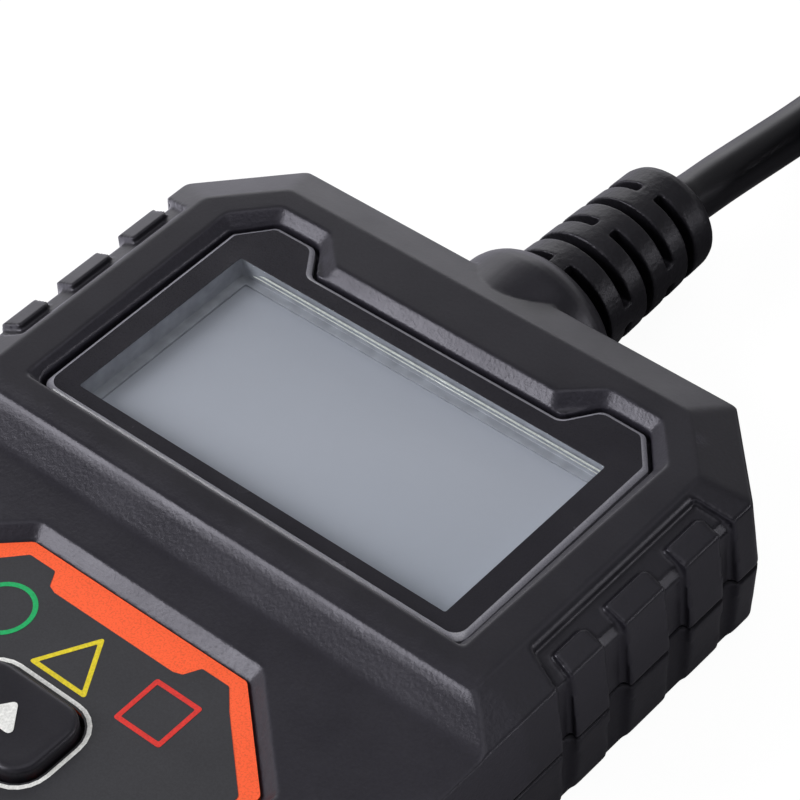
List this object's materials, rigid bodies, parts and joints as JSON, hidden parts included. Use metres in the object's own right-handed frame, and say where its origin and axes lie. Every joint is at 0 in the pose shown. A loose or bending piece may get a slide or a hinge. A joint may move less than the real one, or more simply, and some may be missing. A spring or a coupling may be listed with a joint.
{
  "type": "obd code reader",
  "caption": "Hand-held vehicle code reader: two-shell housing, display window, pressable keys, status lamps, slotted strain relief and a coiled cable to a 16-way plug.",
  "frame": {"origin": "centre of the display window in X and Y, on the plane of the rear face the reader rests on", "axes": "+Z out of the front face, +Y towards the cable end of the housing, +X to the right seen from the front"},
  "size_m": [0.1407, 0.254, 0.0248],
  "materials": {
    "shell": "fine textured dark grey moulding",
    "label": "blank rating plate",
    "lens": "clear window with a dark printed border",
    "lcd": "blank reflective display",
    "backlight": "white moulding",
    "overlay": "printed orange and dark grey sheet",
    "key": "satin cap with a pale outline",
    "component": "black component body",
    "led_green": "tinted lamp body",
    "led_yellow": "tinted lamp body",
    "led_red": "tinted lamp body",
    "board": "green solder mask",
    "screw_steel": "plated screw",
    "cable_sheath": "glossy black sheath",
    "soft_moulding": "fine grained soft black moulding",
    "insert": "black contact carrier",
    "contact": "plated blade"
  },
  "bodies": {
    "housing": {"front_shell": "shell", "rear_shell": "shell", "rating_label": "label", "display_lens": "lens", "lcd_panel": "lcd", "lcd_backlight": "backlight", "keypad_overlay": "overlay", "switch_up": "component", "switch_down": "component", "switch_back": "component", "switch_forward": "component", "switch_enter": "component", "switch_exit": "component", "switch_help": "component", "led_green": "led_green", "led_yellow": "led_yellow", "led_red": "led_red", "main_board": "board", "controller_chip": "component", "bus_transceiver": "component", "power_regulator": "component", "buzzer": "component", "cable_header": "backlight", "board_screw_1": "screw_steel", "board_screw_2": "screw_steel", "board_screw_3": "screw_steel", "board_screw_4": "screw_steel", "case_screw_1": "screw_steel", "case_screw_2": "screw_steel", "case_screw_3": "screw_steel", "case_screw_4": "screw_steel", "cable": "cable_sheath", "cable_pigtail": "cable_sheath", "cable_boot": "soft_moulding", "plug_housing": "soft_moulding", "plug_strain_relief": "soft_moulding", "contact_carrier": "insert", "contact_02": "contact", "contact_04": "contact", "contact_05": "contact", "contact_06": "contact", "contact_07": "contact", "contact_10": "contact", "contact_14": "contact", "contact_15": "contact", "contact_16": "contact"},
    "key_up": {"key_up": "key"},
    "key_down": {"key_down": "key"},
    "key_back": {"key_back": "key"},
    "key_forward": {"key_forward": "key"},
    "key_enter": {"key_enter": "key"},
    "key_exit": {"key_exit": "key"},
    "key_help": {"key_help": "key"}
  },
  "joints": [
    {"name": "press_up", "type": "slide", "parent": "housing", "child": "key_up", "axis": [0, 0, -1], "range_m": [0, 0.0006], "stiffness_N_per_m": 1500, "springref_m": -0.0002},
    {"name": "press_down", "type": "slide", "parent": "housing", "child": "key_down", "axis": [0, 0, -1], "range_m": [0, 0.0006], "stiffness_N_per_m": 1500, "springref_m": -0.0002},
    {"name": "press_back", "type": "slide", "parent": "housing", "child": "key_back", "axis": [0, 0, -1], "range_m": [0, 0.0006], "stiffness_N_per_m": 1500, "springref_m": -0.0002},
    {"name": "press_forward", "type": "slide", "parent": "housing", "child": "key_forward", "axis": [0, 0, -1], "range_m": [0, 0.0006], "stiffness_N_per_m": 1500, "springref_m": -0.0002},
    {"name": "press_enter", "type": "slide", "parent": "housing", "child": "key_enter", "axis": [0, 0, -1], "range_m": [0, 0.0006], "stiffness_N_per_m": 1500, "springref_m": -0.0002},
    {"name": "press_exit", "type": "slide", "parent": "housing", "child": "key_exit", "axis": [0, 0, -1], "range_m": [0, 0.0006], "stiffness_N_per_m": 1500, "springref_m": -0.0002},
    {"name": "press_help", "type": "slide", "parent": "housing", "child": "key_help", "axis": [0, 0, -1], "range_m": [0, 0.0006], "stiffness_N_per_m": 1500, "springref_m": -0.0002}
  ]
}
